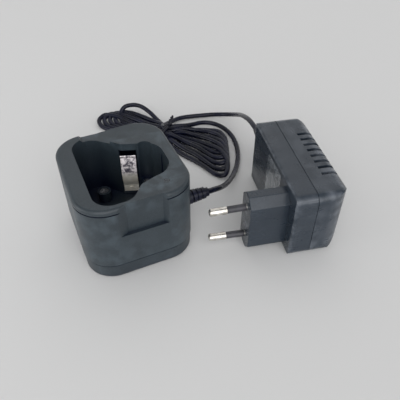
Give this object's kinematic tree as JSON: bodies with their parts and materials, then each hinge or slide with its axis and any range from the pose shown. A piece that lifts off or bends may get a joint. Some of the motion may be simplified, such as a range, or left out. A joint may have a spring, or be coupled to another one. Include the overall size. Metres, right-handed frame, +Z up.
{
  "type": "two-way radio charging cradle with wall adapter",
  "caption": "Desktop charging cradle for a handheld radio, with sprung contacts in its pocket, and its plug-in wall adapter, joined by a tied cord.",
  "frame": {"origin": "centre of the cradle's underside, on the surface that it stands on", "axes": "+Z up, -Y out of the cradle's front face with the belt clip recess, +X towards the strain relief and the wall adapter"},
  "size_m": [0.1347, 0.1688, 0.0456],
  "materials": {
    "case_plastic": "satin",
    "adapter_plastic": "satin",
    "foot_rubber": "matte",
    "cord_jacket": "satin",
    "screw_steel": "zinc plated",
    "contact_metal": "nickel plated",
    "pin_metal": "nickel plated brass",
    "pin_sleeve_plastic": "satin",
    "board_laminate": "solder mask",
    "component_black": "matte",
    "resistor_ceramic": "matte",
    "can_sleeve": "gloss",
    "led_lens": "tinted",
    "light_pipe_clear": "clear",
    "label_film": "gloss",
    "lamination_steel": "lacquered",
    "bobbin_nylon": "matte",
    "winding_copper": "enamelled copper",
    "tie_wire": "satin"
  },
  "bodies": {
    "charger": {"cradle_shell": "case_plastic", "base_plate": "case_plastic", "rubber_feet": "foot_rubber", "base_screws": "screw_steel", "pocket_screws": "screw_steel", "contact_carrier_back": "case_plastic", "contact_carrier_front": "case_plastic", "charge_board": "board_laminate", "status_led": "led_lens", "light_pipe": "light_pipe_clear", "charge_capacitor": "can_sleeve", "charge_chip": "component_black", "board_resistors": "resistor_ceramic", "reverse_diode": "component_black", "cradle_strain_relief": "cord_jacket", "adapter_front_cover": "adapter_plastic", "adapter_rear_shell": "adapter_plastic", "rating_label": "label_film", "plug_pin_upper": "pin_metal", "plug_pin_lower": "pin_metal", "pin_sleeve_upper": "pin_sleeve_plastic", "pin_sleeve_lower": "pin_sleeve_plastic", "adapter_strain_relief": "cord_jacket", "transformer_core": "lamination_steel", "transformer_bobbin": "bobbin_nylon", "primary_winding": "winding_copper", "secondary_winding": "winding_copper", "rectifier_board": "board_laminate", "rectifier_diodes": "component_black", "smoothing_capacitor": "can_sleeve", "cord_run_cradle": "cord_jacket", "cord_run_adapter": "cord_jacket", "cord_hank": "cord_jacket", "cord_tie": "tie_wire"},
    "contact_back": {"contact_spring_back": "contact_metal", "contact_rivet_back": "contact_metal"},
    "contact_front": {"contact_spring_front": "contact_metal", "contact_rivet_front": "contact_metal"}
  },
  "joints": [
    {"name": "contact_back_press", "type": "hinge", "parent": "charger", "child": "contact_back", "pos_m": [0.00682, 0.01275, 0.019], "axis": [-0.9417, 0.3363, 0], "range_deg": [0, 6], "stiffness_Nm_per_rad": 0.12},
    {"name": "contact_front_press", "type": "hinge", "parent": "charger", "child": "contact_front", "pos_m": [0.00682, -0.01795, 0.019], "axis": [0.9417, 0.3363, 0], "range_deg": [0, 6], "stiffness_Nm_per_rad": 0.12}
  ]
}
